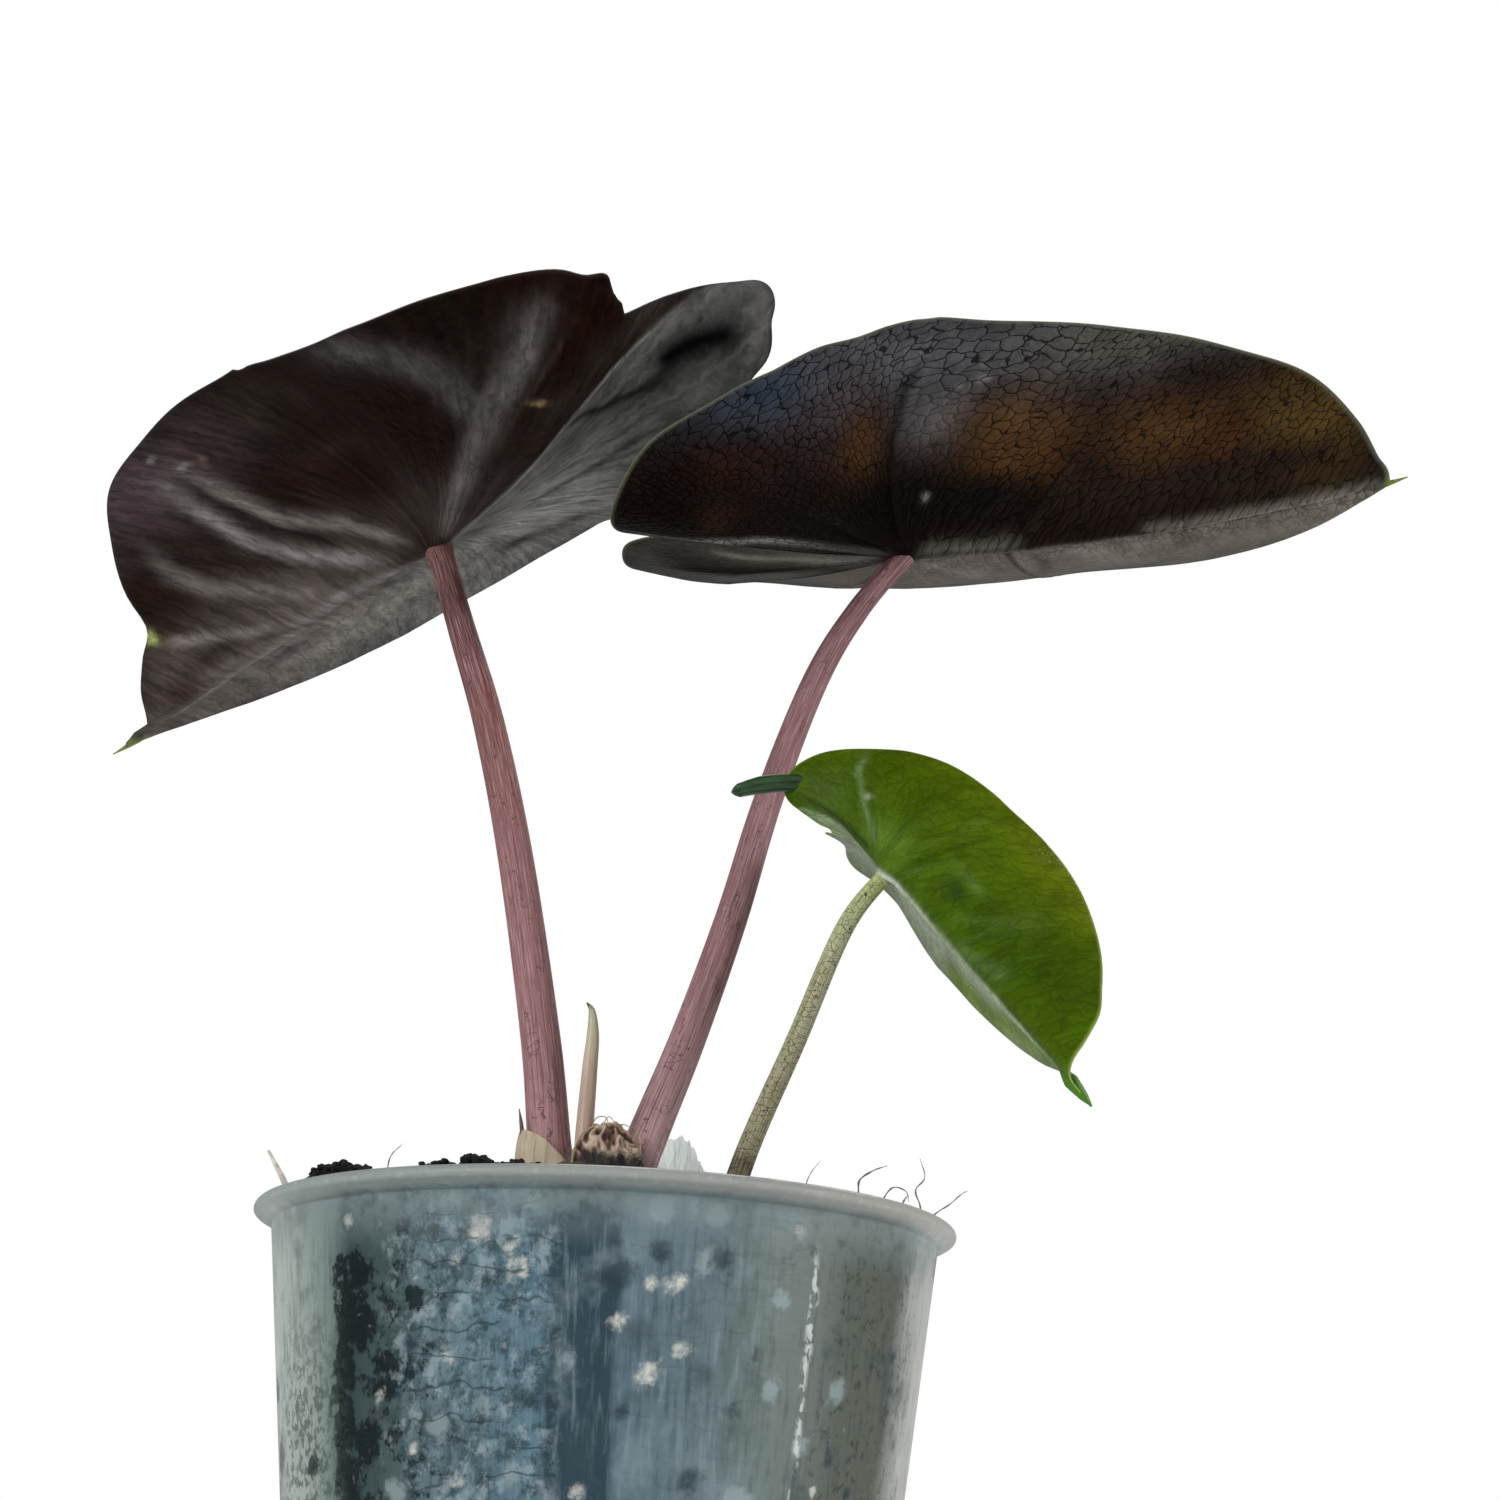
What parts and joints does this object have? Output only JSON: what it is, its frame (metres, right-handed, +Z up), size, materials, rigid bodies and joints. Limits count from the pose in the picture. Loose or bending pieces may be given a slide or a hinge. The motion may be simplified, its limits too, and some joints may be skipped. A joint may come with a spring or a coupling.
{
  "type": "potted alocasia plant",
  "caption": "Young potted alocasia: heart-shaped leaf blades on slim stems that rise from a sheathed crown in a clear tapered cup pot filled with soil.",
  "frame": {"origin": "Centre of the pot's flat base, on the surface that the pot stands on.", "axes": "+Z is up out of the pot. -Y is the front, the side that the picture shows. +X is to the right as seen from the front, towards the tip of the right leaf."},
  "size_m": [0.215, 0.15, 0.2308],
  "materials": {
    "clear_pot": "frosted see-through plastic, milky and a little scuffed",
    "potting_soil": "dark damp potting mix with white perlite",
    "dry_sheath": "dry papery brown sheath",
    "pink_stem": "dusty pink skin with fine lengthwise stripes and dark flecks, half matt",
    "pale_stem": "pale green-cream skin with small dark flecks, half matt",
    "young_shoot": "smooth young skin, pink below and pale green above",
    "bare_root": "matt off-white root skin",
    "dark_leaf": "near-black maroon underside with a soft sheen, glossy dark green upper side",
    "green_leaf": "mid green blade with paler margins, satin"
  },
  "bodies": {
    "root": {"pot": "clear_pot", "soil": "potting_soil", "crown": "dry_sheath", "stem_left": "pink_stem", "stem_right": "pink_stem", "stem_small": "pale_stem", "shoot": "young_shoot", "root_tip": "bare_root", "leaf_left": "dark_leaf", "leaf_right": "dark_leaf", "leaf_small": "green_leaf"}
  },
  "joints": []
}
